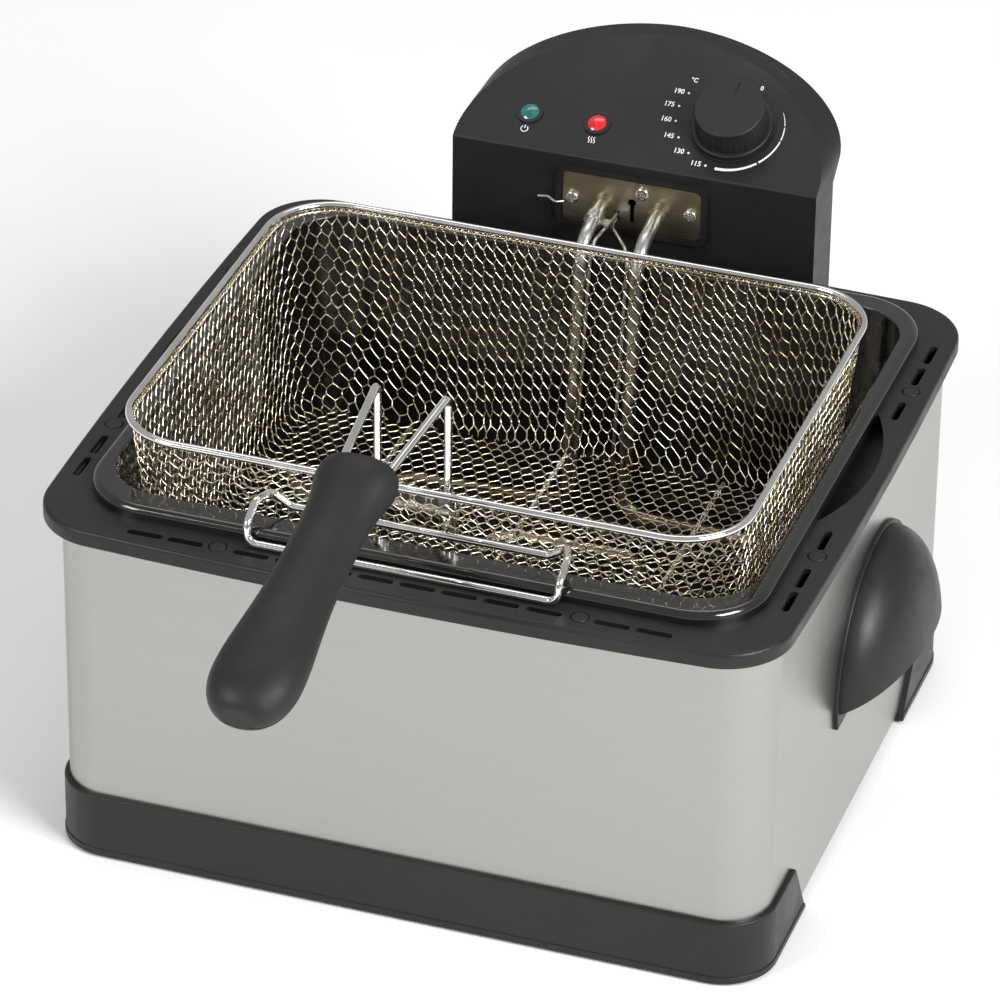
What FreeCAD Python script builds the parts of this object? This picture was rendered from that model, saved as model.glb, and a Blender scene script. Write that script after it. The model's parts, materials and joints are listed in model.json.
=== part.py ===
import FreeCAD, Part
import os, math

V = FreeCAD.Vector
os.makedirs("parts", exist_ok=True)

# ---------------------------------------------------------------- driving dimensions (mm)
YS = 41.2             # everything is drawn about the housing's centre, then moved by this so the whole object is centred
FLOOR_GAP = 1.5       # height of the skirts above the surface
# housing
STEEL_HX, STEEL_YF, STEEL_YR, STEEL_R = 172.0, -153.0, 157.5, 23.0
STEEL_T, STEEL_Z0, STEEL_Z1 = 0.8, 5.0, 184.0
SKIRT_T, SKIRT_H = 2.6, 32.5
FRAME_HX, FRAME_YF, FRAME_YR, FRAME_R = 177.5, -165.5, 165.3, 33.0
FRAME_BOW_X, FRAME_BOW_F, FRAME_BOW_R = 3.5, 5.5, 2.7
FRAME_Z0, FRAME_Z1 = 178.8, 187.0
# bowl
BOWL_HX, BOWL_YF, BOWL_YR, BOWL_R = 154.0, -135.0, 142.0, 28.0      # opening
FLANGE_HX, FLANGE_YF, FLANGE_YR, FLANGE_R = 162.0, -149.0, 155.0, 34.0
FLANGE_Z = 193.2
BOWL_BOTTOM = 46.0
BOWL_T = 1.3
# basket
RIM_HX, RIM_YF, RIM_YR, RIM_R = 148.7, -127.8, 110.7, 33.0          # centre line of the rim rod
RIM_Z, ROD = 215.7, 1.8
BASKET_BOTTOM, BASKET_TAPER, BASKET_T = 112.0, 10.0, 1.6
# handle
LEG_X, LEG_Y, WIRE, APEX_Z = 16.8, -121.0, 1.9, 264.6
GRIP_A, GRIP_B = V(0, -188.0, 259.2), V(-2.2, -333.0, 220.5)
# control head
HEAD_HX, HEAD_Y, HEAD_Z0, CREASE_Z = 93.0, 171.0, 62.0, 231.3
PANEL_DEG = 62.0      # the control panel's outward normal above horizontal
PANEL_S0, PANEL_H, PANEL_N = 2.7, 75.3, 1.9
HEAD_BACK, BACK_LEAN = 205.0, 1.19
KNOB_X, KNOB_S = 41.5, 32.0
LAMP_S, LAMP_GREEN, LAMP_RED = 20.6, -59.1, -24.5
TUBE_X, TUBE_Z, TUBE_R, TUBE_Y = 14.5, 208.2, 3.5, 132.0
# sideways places: the head sits a little right of the middle, the basket hangs a little left in its clearance
HEAD_X, BASKET_X, HANDLE_X = 3.0, -2.7, -6.2

shapes = {}


def rr(hx, y0, y1, r, z):
    """Closed rounded-rectangle wire, eight edges in a fixed order."""
    k = r * (1 - math.sqrt(0.5))
    P = lambda x, y: V(x, y, z)
    e = []
    L = lambda a, b: e.append(Part.LineSegment(a, b).toShape())
    A = lambda a, m, b: e.append(Part.Arc(a, m, b).toShape())
    L(P(-hx + r, y0), P(hx - r, y0))
    A(P(hx - r, y0), P(hx - k, y0 + k), P(hx, y0 + r))
    L(P(hx, y0 + r), P(hx, y1 - r))
    A(P(hx, y1 - r), P(hx - k, y1 - k), P(hx - r, y1))
    L(P(hx - r, y1), P(-hx + r, y1))
    A(P(-hx + r, y1), P(-hx + k, y1 - k), P(-hx, y1 - r))
    L(P(-hx, y1 - r), P(-hx, y0 + r))
    A(P(-hx, y0 + r), P(-hx + k, y0 + k), P(-hx + r, y0))
    return Part.Wire(e)


def rprism(hx, y0, y1, r, z0, z1):
    return Part.Face(rr(hx, y0, y1, r, z0)).extrude(V(0, 0, z1 - z0))


def rloft(secs):
    return Part.makeLoft([rr(*s) for s in secs], True, True)


def box(x0, x1, y0, y1, z0, z1):
    return Part.makeBox(x1 - x0, y1 - y0, z1 - z0, V(x0, y0, z0))


def cyl(p, d, r, l):
    return Part.makeCylinder(r, l, p, d)


def bowed(hx, y0, y1, bx, bf, br, r, z0, z1):
    """Prism whose four sides bow outwards, with rounded corners."""
    c = [V(-hx, y0, z0), V(hx, y0, z0), V(hx, y1, z0), V(-hx, y1, z0)]
    m = [V(0, y0 - bf, z0), V(hx + bx, (y0 + y1) / 2, z0), V(0, y1 + br, z0), V(-hx - bx, (y0 + y1) / 2, z0)]
    w = Part.Wire([Part.Arc(c[i], m[i], c[(i + 1) % 4]).toShape() for i in range(4)])
    s = Part.Face(w).extrude(V(0, 0, z1 - z0))
    ed = [e for e in s.Edges if abs(e.Vertexes[0].Point.z - e.Vertexes[-1].Point.z) > 1]
    return s.makeFillet(r, ed)


def fillet(s, r, test):
    """Round the edges that the test picks; the shape is returned as it is if the kernel can't."""
    ed = [e for e in s.Edges if test(e.BoundBox, e)]
    if not ed:
        print("no edges for fillet", r)
        return s
    try:
        t = s.makeFillet(r, ed)
        if t.isValid() and t.Volume > 0:
            return t
    except Exception as ex:
        print("fillet failed", r, ex)
    return s


def extr(pts, d):
    """Planar polygon swept along d."""
    return Part.Face(Part.makePolygon([V(*p) for p in pts] + [V(*pts[0])])).extrude(V(*d))


def path(pts, rad):
    """Straight runs joined by tangent arcs; rad is one radius or one per inner point."""
    pts = [V(*p) for p in pts]
    n = len(pts)
    if not isinstance(rad, (list, tuple)):
        rad = [rad] * (n - 2)
    e, a = [], pts[0]
    for i in range(1, n - 1):
        p, u, v = pts[i], (pts[i - 1] - pts[i]).normalize(), (pts[i + 1] - pts[i]).normalize()
        ang = math.acos(max(-1, min(1, u.dot(v))))
        t = rad[i - 1] / math.tan(ang / 2)
        s, f = p + u * t, p + v * t
        b = (u + v).normalize()
        c = p + b * (rad[i - 1] / math.sin(ang / 2))
        mid = c - b * rad[i - 1]
        if (s - a).Length > 1e-4:
            e.append(Part.LineSegment(a, s).toShape())
        e.append(Part.Arc(s, mid, f).toShape())
        a = f
    if (pts[-1] - a).Length > 1e-4:
        e.append(Part.LineSegment(a, pts[-1]).toShape())
    return e


def tube(edges, r):
    """Round rod along tangent edges."""
    w = Part.Wire(edges)
    e0 = edges[0]
    t = e0.tangentAt(e0.FirstParameter)
    p = e0.valueAt(e0.FirstParameter)
    if (p - w.OrderedVertexes[0].Point).Length > 1e-3:
        p = w.OrderedVertexes[0].Point
    c = Part.Wire(Part.Circle(p, t, r).toShape())
    s = w.makePipeShell([c], True, False)
    return s


def fuse(l):
    s = l[0]
    if len(l) > 1:
        s = s.multiFuse(l[1:])
    return s.removeSplitter()


def comp(l):
    return Part.makeCompound(l)


def screw_head(p, d, r, h, slot=0.9):
    """Pan-head screw with a cross recess; p is the seat, d the outward axis."""
    d = V(d).normalize()
    s = cyl(p, d, r, h)
    s = fillet(s, h * 0.55, lambda b, e: (e.CenterOfMass - (p + d * h)).Length < 0.01)
    u = d.cross(V(0, 0, 1) if abs(d.z) < 0.9 else V(1, 0, 0)).normalize()
    v = d.cross(u).normalize()
    for a, b in ((u, v), (v, u)):
        L, W = r * 1.15, slot
        q = p + d * (h * 0.42) - a * (L / 2) - b * (W / 2)
        f = Part.Face(Part.makePolygon([q, q + a * L, q + a * L + b * W, q + b * W, q]))
        s = s.cut(f.extrude(d * h))
    return s


def put(name, s):
    dx = OFFSETS.get(name, 0.0)
    if dx:
        s = s.copy()
        s.translate(V(dx, 0, 0))
    shapes[name] = s


HEAD_NODES = ("head_guide_rails", "head_front_shell", "head_rear_cover", "rear_cover_screws", "cord_gland", "element_plate", "plate_screws", "element_ferrules",
              "heating_element", "thermostat_bulb", "cutout_bulb", "capillaries", "bulb_clips", "element_clamp", "wire_stub", "lamp_bezels", "power_lamp_lens",
              "ready_lamp_lens", "lamp_bodies", "thermostat_body", "thermal_cutout", "terminal_block", "microswitch", "dial_ring", "knob", "knob_shaft", "reset_button")
OFFSETS = dict([(n, HEAD_X) for n in HEAD_NODES] + [(n, BASKET_X) for n in ("basket_mesh", "basket_rim_rod", "basket_bottom_rods")]
               + [(n, HANDLE_X) for n in ("handle_socket", "handle_wires", "grip_upper", "grip_lower", "grip_screw")])


# ================================================================ housing
# steel wrap: thin brushed sheet, open at the back behind the control head
wrap = rprism(STEEL_HX, STEEL_YF, STEEL_YR, STEEL_R, STEEL_Z0, STEEL_Z1).cut(
    rprism(STEEL_HX - STEEL_T, STEEL_YF + STEEL_T, STEEL_YR - STEEL_T, STEEL_R - STEEL_T, STEEL_Z0 - 1, STEEL_Z1 + 1))
wrap = wrap.cut(box(-95, 95, STEEL_YR - 6, STEEL_YR + 2, 0, 200))
put("steel_wrap", wrap)
# rear panel, lapped inside the wrap, with vent louvres under 4 mm
rp = box(-104, 104, STEEL_YR - STEEL_T - 1.0, STEEL_YR - STEEL_T, STEEL_Z0 + 2.5, STEEL_Z1)
for i in range(9):
    for sx in (-1, 1):
        rp = rp.cut(box(-14 + sx * 30, 14 + sx * 30, STEEL_YR - 4, STEEL_YR + 1, 16 + i * 4.6, 18.4 + i * 4.6))
put("rear_panel", rp)
# guide rails for the control head
rails = []
for sx in (-1, 1):
    r = box(sx * 70 - 9, sx * 70 + 9, STEEL_YR - STEEL_T, 168.0, 74, 172)
    r = r.cut(box(sx * 70 - 7, sx * 70 + 7, 159.0, 170, 78, 180))
    rails.append(r)
put("head_guide_rails", comp(rails))
# base pan: floor, upturned edge, foot bosses
bp = rprism(STEEL_HX - 1.0, STEEL_YF + 1.0, STEEL_YR - 2.0, STEEL_R - 1, 3.2, 22).cut(
    rprism(STEEL_HX - 3.4, STEEL_YF + 3.4, STEEL_YR - 4.4, STEEL_R - 3.4, 5.4, 23))
FEET = [(-146, -126), (146, -126), (-146, 130), (146, 130)]
for i in range(-5, 6):
    if i:
        bp = bp.cut(box(i * 20 - 1.7, i * 20 + 1.7, -60, 70, 0, 6))
for x, y in FEET:
    bp = bp.fuse(cyl(V(x, y, 5.0), V(0, 0, 1), 11, 5))
put("base_pan", bp.removeSplitter())
put("rubber_feet", comp([fillet(cyl(V(x, y, 0), V(0, 0, 1), 9.5, 3.2), 0.8, lambda b, e: b.ZMax < 0.01) for x, y in FEET]))
BS = [(-150, 0), (150, 0), (0, -130), (0, 120)]
put("base_screws", comp([screw_head(V(x, y, 3.2), V(0, 0, -1), 3.0, 1.4) for x, y in BS]))

# skirts: two black mouldings round the bottom of the steel, with slanted ends on the sides
z0, z1 = FLOOR_GAP, FLOOR_GAP + SKIRT_H
so = rprism(STEEL_HX + SKIRT_T, STEEL_YF - SKIRT_T, STEEL_YR + SKIRT_T, STEEL_R + SKIRT_T, z0, z1)
so = fillet(so, 1.2, lambda b, e: b.ZMin > z1 - 0.01)
lip = rprism(STEEL_HX + SKIRT_T + 0.5, STEEL_YF - SKIRT_T - 0.5, STEEL_YR + SKIRT_T + 0.5, STEEL_R + SKIRT_T + 0.5, z0, z0 + 3.2)
lip = fillet(lip, 0.5, lambda b, e: b.ZMin > z0 + 3.1)
so = so.fuse(lip)
si = rprism(STEEL_HX + 0.05, STEEL_YF - 0.05, STEEL_YR + 0.05, STEEL_R, z0 - 1, z1 + 1)
ring = so.cut(si)
foot_ring = rprism(STEEL_HX + 0.2, STEEL_YF - 0.2, STEEL_YR + 0.2, STEEL_R, z0, z0 + 1.6).cut(
    rprism(STEEL_HX - 9, STEEL_YF + 9, STEEL_YR - 9, STEEL_R - 9, z0 - 1, z0 + 3))
ring = ring.fuse(foot_ring).removeSplitter()
fs = ring.common(extr([(-300, -300, -5), (-300, -82, -5), (-300, -83, z0), (-300, -101, z1), (-300, -101, 60), (-300, -300, 60)], (600, 0, 0)))
rs = ring.common(extr([(-300, 300, -5), (-300, 81, -5), (-300, 82, z0), (-300, 106, z1), (-300, 106, 60), (-300, 300, 60)], (600, 0, 0)))
put("front_skirt", fs)
put("rear_skirt", rs)

# top frame
fr = bowed(FRAME_HX, FRAME_YF, FRAME_YR, FRAME_BOW_X, FRAME_BOW_F, FRAME_BOW_R, FRAME_R, FRAME_Z0, FRAME_Z1)
fr = fillet(fr, 2.2, lambda b, e: b.ZMin > FRAME_Z1 - 0.01)
fr = fillet(fr, 1.0, lambda b, e: b.ZMax < FRAME_Z0 + 0.01)
inner = bowed(FRAME_HX - 3, FRAME_YF + 3, FRAME_YR - 3, FRAME_BOW_X, FRAME_BOW_F, FRAME_BOW_R, FRAME_R - 3, FRAME_Z0 + 2.2, FRAME_Z1 - 3)
fr = fr.cut(inner)
fr = fr.cut(rprism(STEEL_HX + 0.1, STEEL_YF - 0.1, STEEL_YR + 0.1, STEEL_R + 0.1, FRAME_Z0 - 1, FRAME_Z1 - 3))
OPX, OPF, OPR, OPC = 157.5, -139.0, 146.0, 31.0
lipw = rprism(OPX + 2.4, OPF - 2.4, OPR + 2.4, OPC + 2.4, 171, FRAME_Z1 - 2)
# finger scoops at both sides of the bowl
sc_r, sc_cx, sc_cy = 108.5, 66.0, 6.0
scoops_add, scoops_cut = [], []
for sx in (-1, 1):
    lens = cyl(V(sx * sc_cx, sc_cy, 170), V(0, 0, 1), sc_r, 30)
    big = cyl(V(sx * sc_cx, sc_cy, 176), V(0, 0, 1), sc_r + 2.2, 9).common(box(min(sx * 158, sx * 190), max(sx * 158, sx * 190), -80, 90, 170, 200))
    big = big.common(rprism(STEEL_HX - 1.2, -160, 160, 20, 170, 200))
    wedge = extr([(sx * 150, -90, 179.0), (sx * 159, -90, 179.0), (sx * 176, -90, 187.2), (sx * 176, -90, 195), (sx * 150, -90, 195)], (0, 190, 0))
    scoops_add.append(big)
    scoops_cut.append(lens.common(wedge))
fr = fr.fuse([lipw] + scoops_add)
fr = fr.cut(rprism(OPX, OPF, OPR, OPC, 160, 200))
for c in scoops_cut:
    fr = fr.cut(c)


def slot(cx, cy, along_x, L=17.0, W=3.6):
    r = W / 2
    if along_x:
        s = box(cx - L / 2 + r, cx + L / 2 - r, cy - r, cy + r, FRAME_Z1 - 6, FRAME_Z1 + 2)
        a, b = V(cx - L / 2 + r, cy, FRAME_Z1 - 6), V(cx + L / 2 - r, cy, FRAME_Z1 - 6)
    else:
        s = box(cx - r, cx + r, cy - L / 2 + r, cy + L / 2 - r, FRAME_Z1 - 6, FRAME_Z1 + 2)
        a, b = V(cx, cy - L / 2 + r, FRAME_Z1 - 6), V(cx, cy + L / 2 - r, FRAME_Z1 - 6)
    return s.fuse([cyl(a, V(0, 0, 1), r, 8), cyl(b, V(0, 0, 1), r, 8)])


SLOT_Y, SLOT_X = -159.6, 170.0
cuts = []
for x in (11, 33, 55, 77.3, 112.5, 134.4):
    for sx in (-1, 1):
        cuts.append(slot(sx * x * 0.9, SLOT_Y, True))
for y in (131, 107, 69.5, -66.4, -104, -127):
    for sx in (-1, 1):
        cuts.append(slot(sx * SLOT_X, y * 0.9, False))
for c in cuts:
    fr = fr.cut(c)
CAPS = [(-86, -158.4), (86, -158.4), (170.6, 81.8), (-170.6, 81.8), (170.6, -73.8), (-170.6, -73.8)]
for x, y in CAPS:
    fr = fr.cut(cyl(V(x, y, FRAME_Z1 - 1.6), V(0, 0, 1), 4.5, 4))
for sx in (-1, 1):     # notches that let the head's tongues slide up out of their rails
    fr = fr.cut(box(HEAD_X + sx * 70 - 7.6, HEAD_X + sx * 70 + 7.6, 158.4, 180, 160, 200))
put("top_frame", fr.removeSplitter())
caps = []
for x, y in CAPS:
    c = cyl(V(x, y, FRAME_Z1 - 1.6), V(0, 0, 1), 4.1, 2.0)
    c = fillet(c, 0.7, lambda b, e: b.ZMin > FRAME_Z1 + 0.3)
    caps.append(c)
put("frame_screw_caps", comp(caps))

# side handles: hollow hoods open underneath, on a back plate
HY, HB, HZC, HC, HH = 22.0, 58.0, 85.0, 55.5, 31.0


def ellipsoid(cx, cy, cz, a, b, c):
    m = FreeCAD.Matrix()
    m.scale(a, b, c)
    s = Part.makeSphere(1.0).transformGeometry(m)
    s.translate(V(cx, cy, cz))
    return s


def hood(sx):
    X = STEEL_HX + 2.2
    o = ellipsoid(X, HY, HZC, HH - 2.2, HB, HC)
    i = ellipsoid(X, HY, HZC, HH - 5.4, HB - 3.4, HC - 3.4)
    cutp = extr([(X - 60, -100, 20), (X + 60, -100, 20), (X + 60, -100, 78.4 + 0.55 * 60), (X, -100, 78.4), (X - 60, -100, 78.4)], (0, 260, 0))
    o = o.cut(box(X - 80, X, -100, 150, 0, 200)).cut(cutp)
    s = o.cut(i)
    if sx < 0:
        s = s.mirror(V(0, 0, 0), V(1, 0, 0))
    return s


def plate(sx):
    # elliptical back plate with a lower edge that shows under the hood
    e = Part.Ellipse(V(0, 0, 0), HB + 2.0, HC + 2.0)
    w = Part.Wire(e.toShape())
    f = Part.Face(w).extrude(V(0, 0, 2.2))
    m = FreeCAD.Matrix(0, 0, 1, STEEL_HX, 1, 0, 0, HY, 0, 1, 0, HZC, 0, 0, 0, 1)
    f = f.transformGeometry(m)
    f = f.common(box(150, 200, -100, 150, 70, 160))
    f = fillet(f, 0.8, lambda b, e: b.XMin > STEEL_HX + 2.1)
    if sx < 0:
        f = f.mirror(V(0, 0, 0), V(1, 0, 0))
    return f


hoodl = hood(-1)
put("side_handle_left", hoodl)
put("side_handle_right", hoodl.mirror(V(0, 0, 0), V(1, 0, 0)))
for sx, nm in ((-1, "left"), (1, "right")):
    put("side_handle_plate_" + nm, plate(sx))
put("side_handle_screws", comp([screw_head(V(sx * (STEEL_HX + 2.2), HY + dy, 90), V(sx, 0, 0), 3.2, 2.0) for sx in (-1, 1) for dy in (-28, 28)]))

# ================================================================ bowl
zc = BOWL_BOTTOM
body = rloft([(BOWL_HX - 12 + BOWL_T, BOWL_YF + 12 - BOWL_T, BOWL_YR - 12 + BOWL_T, BOWL_R - 2, zc),
              (BOWL_HX + BOWL_T, BOWL_YF - BOWL_T, BOWL_YR + BOWL_T, BOWL_R + BOWL_T, 187.0)])
body = fillet(body, 13, lambda b, e: b.ZMax < zc + 0.1)
cav = rloft([(BOWL_HX - 12, BOWL_YF + 12, BOWL_YR - 12, BOWL_R - 3, zc + BOWL_T),
             (BOWL_HX, BOWL_YF, BOWL_YR, BOWL_R, 187.0)])
cav = fillet(cav, 12, lambda b, e: b.ZMax < zc + BOWL_T + 0.1)
rim = rprism(FLANGE_HX, FLANGE_YF, FLANGE_YR, FLANGE_R, 187.0, FLANGE_Z)
rim = fillet(rim, 3.6, lambda b, e: b.ZMin > FLANGE_Z - 0.01)
ch = rprism(FLANGE_HX - BOWL_T, FLANGE_YF + BOWL_T, FLANGE_YR - BOWL_T, FLANGE_R - BOWL_T, 186.0, FLANGE_Z - BOWL_T)
ch = fillet(ch, 2.3, lambda b, e: b.ZMin > FLANGE_Z - BOWL_T - 0.01)
ch = ch.cut(rprism(BOWL_HX + BOWL_T, BOWL_YF - BOWL_T, BOWL_YR + BOWL_T, BOWL_R + BOWL_T, 180, 200))
throat = rprism(BOWL_HX, BOWL_YF, BOWL_YR, BOWL_R, 186.9, FLANGE_Z + 1)
top = rim.cut(ch).cut(throat)
bowl = body.cut(cav).fuse(top).removeSplitter()
bowl = fillet(bowl, 1.0, lambda b, e: b.ZMin > FLANGE_Z - 0.01 and b.XMax < BOWL_HX + 0.5 and b.XMin > -BOWL_HX - 0.5)
put("bowl", bowl)

# ================================================================ basket
mesh = rloft([(RIM_HX - BASKET_TAPER, RIM_YF + BASKET_TAPER, RIM_YR - BASKET_TAPER, RIM_R - 5, BASKET_BOTTOM),
              (RIM_HX - 0.2, RIM_YF + 0.2, RIM_YR - 0.2, RIM_R, RIM_Z - 1.0)])
mesh = fillet(mesh, 9, lambda b, e: b.ZMax < BASKET_BOTTOM + 0.1)
t = BASKET_T
mi = rloft([(RIM_HX - BASKET_TAPER - t, RIM_YF + BASKET_TAPER + t, RIM_YR - BASKET_TAPER - t, RIM_R - 5 - t, BASKET_BOTTOM + t),
            (RIM_HX - 0.2 - t, RIM_YF + 0.2 + t, RIM_YR - 0.2 - t, RIM_R - t, RIM_Z - 0.99)])
mi = fillet(mi, 7.6, lambda b, e: b.ZMax < BASKET_BOTTOM + t + 0.1)
put("basket_mesh", mesh.cut(mi))


def ring_tube(hx, y0, y1, r, z, rad):
    """Closed round rod along a rounded rectangle, from straight and bent lengths."""
    w = rr(hx, y0, y1, r, z)
    e = w.Edges[0]
    p, tn = e.valueAt(e.FirstParameter), e.tangentAt(e.FirstParameter)
    c = Part.Wire(Part.Circle(p, tn, rad).toShape())
    return w.makePipeShell([c], True, False)


put("basket_rim_rod", ring_tube(RIM_HX, RIM_YF, RIM_YR, RIM_R, RIM_Z + 0.9, ROD))
# rods under the bottom that stiffen the mesh and act as its feet
bz = BASKET_BOTTOM - 1.6
rods = []
for x in (-80, 0, 80):
    rods.append(tube(path([(x, RIM_YF + BASKET_TAPER + 9, bz), (x, RIM_YR - BASKET_TAPER - 9, bz)], 1), 1.5))
put("basket_bottom_rods", comp(rods))
# hanger: loop of rod that hooks over the bowl's front edge and rests on the frame
h = 1.9
wy = RIM_YF + 2.0 - h - 0.35      # the upper bar lies against the mesh
hp = [(-62, wy, 196.0), (-70.5, wy - 1.5, 203.0), (-74.2, -141, 204.0), (-74.2, -152, 198.0), (-71, -153.3, FRAME_Z1 + h), (-61, -153.3, FRAME_Z1 + h)]
left = path([(0, wy, 196.0)] + hp[:1] + hp[1:4] + [(-73.7, -153.3, FRAME_Z1 + h), (0, -153.3, FRAME_Z1 + h)], [5, 5, 5, 5, 5])
right = [e.mirror(V(0, 0, 0), V(1, 0, 0)) for e in left]
hl = tube(left, h)
hr = hl.mirror(V(0, 0, 0), V(1, 0, 0))
put("basket_hanger", fuse([hl, hr]))
# socket on the inside of the front wall: two sleeves on a cross plate
sl = []
for sx in (-1, 1):
    o = cyl(V(sx * LEG_X, LEG_Y, 190.5), V(0, 0, 1), 2.9, 23)
    sl.append(o)
pl = box(-LEG_X - 4.5, LEG_X + 4.5, LEG_Y + 2.0, LEG_Y + 3.0, 191, 212)
sock = sl[0].fuse([sl[1], pl])
for sx in (-1, 1):
    sock = sock.cut(cyl(V(sx * LEG_X, LEG_Y, 192.0), V(0, 0, 1), WIRE + 0.06, 30))
# two small hooks that grip the rim rod
for sx in (-1, 1):
    sock = sock.fuse(box(sx * LEG_X - 2.5, sx * LEG_X + 2.5, LEG_Y - 5.4, LEG_Y - 2.6, 205, 214.6))
put("handle_socket", sock.removeSplitter())

# ================================================================ handle
wires = []
gd = (GRIP_B - GRIP_A).normalize()
for sx in (-1, 1):
    p1 = GRIP_A + gd * 4 + V(sx * 10.5, 0, 0)
    p2 = GRIP_A + gd * 48 + V(sx * 8.5, 0, 0)
    wires.append(tube(path([(sx * LEG_X, LEG_Y, 192.2), (sx * LEG_X, LEG_Y, APEX_Z), tuple(p1), tuple(p2)], [4.2, 14]), WIRE))
put("handle_wires", comp(wires))

gu = gd                                  # along the grip, away from the basket
gn = V(1, 0, 0).cross(gd).normalize()    # square to the grip; turned to point up
if gn.z < 0:
    gn = gn * -1


def gsec(s, w, t, up, k=2.0):
    """Closed oval section at distance s along the grip."""
    c = GRIP_A + gu * s + gn * up
    n = 20
    pts = []
    for i in range(n):
        a = 2 * math.pi * i / n
        ca, sa = math.cos(a), math.sin(a)
        q = (abs(ca) ** k + abs(sa) ** k) ** (-1.0 / k)
        pts.append(c + V(1, 0, 0) * (w / 2 * ca * q) + gn * (t / 2 * sa * q))
    b = Part.BSplineCurve()
    b.interpolate(Points=pts, PeriodicFlag=True)
    return Part.Wire(b.toShape())


GS = [(0.0, 34.86, 24.73, 0.0, 2.2), (2.9, 36.77, 26.19, 0.0, 2.2), (19.36, 33.42, 23.77, 0.2, 2.2), (43.56, 30.37, 22.31, 0.4, 2.2), (72.6, 31.51, 23.28, 0.6, 2.2), (101.64, 36.77, 25.7, 0.8, 2.2), (123.9, 40.59, 27.16, 0.8, 2.2), (137.46, 38.2, 25.7, 0.6, 2.15), (146.17, 29.61, 20.37, 0.2, 2.1), (150.52, 17.19, 11.64, 0.0, 2.0)]
grip = Part.makeLoft([gsec(*g) for g in GS], True, False)
print("grip", grip.isValid(), grip.Volume)
for s in wires:
    grip = grip.cut(s)
# parting plane lies below the middle, so the upper moulding is the larger one
P0 = GRIP_A - gn * 4.2
# build the half space below the parting plane from a polygon
q0 = P0 - gu * 40 - V(60, 0, 0)
half = Part.Face(Part.makePolygon([q0, q0 + V(120, 0, 0), q0 + V(120, 0, 0) + gu * 260, q0 + gu * 260, q0])).extrude(gn * -60)
core = Part.makeLoft([gsec(s_, w_ - 1.5, t_ - 1.5, u_, k_) for s_, w_, t_, u_, k_ in GS], True, False)
qa = P0 - gu * 2 - V(60, 0, 0) - gn * 0.35
slab = Part.Face(Part.makePolygon([qa, qa + V(120, 0, 0), qa + V(120, 0, 0) + gu * 220, qa + gu * 220, qa])).extrude(gn * 0.7)
groove = slab.cut(core)
put("grip_upper", grip.cut(half).cut(groove))
put("grip_lower", grip.common(half).cut(groove))
gsp = GRIP_A + gu * 62 - gn * 11.4
put("grip_screw", screw_head(gsp + gn * 1.2, gn * -1, 3.0, 1.6, 0.8))

# ================================================================ control head
PA = math.radians(PANEL_DEG)
N = V(0, -math.cos(PA), math.sin(PA))    # panel's outward normal
E2 = V(0, math.sin(PA), math.cos(PA))    # up the panel


def panel(x, s, off=0.0):
    return V(x, HEAD_Y, CREASE_Z) + E2 * s + N * off


def back_y(z, t=0.0):
    return HEAD_BACK - t if z < 228 else HEAD_BACK - t + (z - 228) * BACK_LEAN


def dface(t, s_low=-4.0):
    """The control panel's outline, flat at the bottom and arched above, drawn in the panel's plane."""
    a = HEAD_HX - t
    pts = []
    n = 26
    for i in range(n + 1):
        th = math.pi * i / n
        c, s = math.cos(th), math.sin(th)
        pts.append((a * math.copysign(abs(c) ** (2 / PANEL_N), c), PANEL_S0 + (PANEL_H - t) * abs(s) ** (2 / PANEL_N)))
    P3 = [panel(x, s, -t) for x, s in pts]
    b = Part.BSplineCurve()
    b.interpolate(P3)
    lo = [panel(-a, s_low, -t), panel(a, s_low, -t)]
    e = [b.toShape(), Part.LineSegment(P3[-1], lo[0]).toShape(), Part.LineSegment(lo[0], lo[1]).toShape(), Part.LineSegment(lo[1], P3[0]).toShape()]
    return Part.Face(Part.Wire(e))


def head_solid(t, z0=None):
    z0 = HEAD_Z0 + t if z0 is None else z0
    cz = CREASE_Z - 0.543 * t
    a = HEAD_HX - t
    col = box(-a, a, HEAD_Y + t, 260, z0, cz)
    up = dface(t).extrude(V(0, 90, 0))
    # only what is behind the vertical lower face counts
    up = up.common(box(-200, 200, HEAD_Y + t, 400, CREASE_Z - 30, 400))
    s = col.fuse(up)
    # back: vertical low down, leaning back above
    t2 = t
    bk = extr([(-200, back_y(0, t2), 0), (-200, back_y(228, t2), 228), (-200, back_y(320, t2), 320), (-200, 500, 320), (-200, 500, 0)], (400, 0, 0))
    s = s.cut(bk)
    return s.removeSplitter()


hs = head_solid(0.0)
# soft edges: ridge round the panel and the vertical corners
hs = fillet(hs, 5.0, lambda b, e: b.XLength < 0.01 and b.YLength < 0.01 and b.ZLength > 100 and b.YMin > HEAD_Y + 20)
hs = fillet(hs, 2.0, lambda b, e: abs(b.XLength - 2 * HEAD_HX) < 0.5 and b.YLength < 0.01 and abs(b.ZMin - CREASE_Z) < 0.1)
hi = head_solid(2.2)


SEAM = [(-200, 175.0, 0), (-200, 175.0, 62), (-200, 176.6, 187), (-200, 181.3, CREASE_Z), (-200, 181.3 + math.tan(PA) * 60, CREASE_Z + 60)]
front_half = extr([(-200, 100, 0)] + SEAM + [(-200, 100, CREASE_Z + 60)], (400, 0, 0))
shell = hs.cut(hi)
fsh = shell.common(front_half)
rsh = shell.cut(front_half)
print("head", hs.isValid(), hi.isValid(), shell.Volume, fsh.Volume, rsh.Volume, len(fsh.Solids), len(rsh.Solids))
# raised border round the element plate
PX, PZ0, PZ1 = 35.3, 196.5, 223.0


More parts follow.
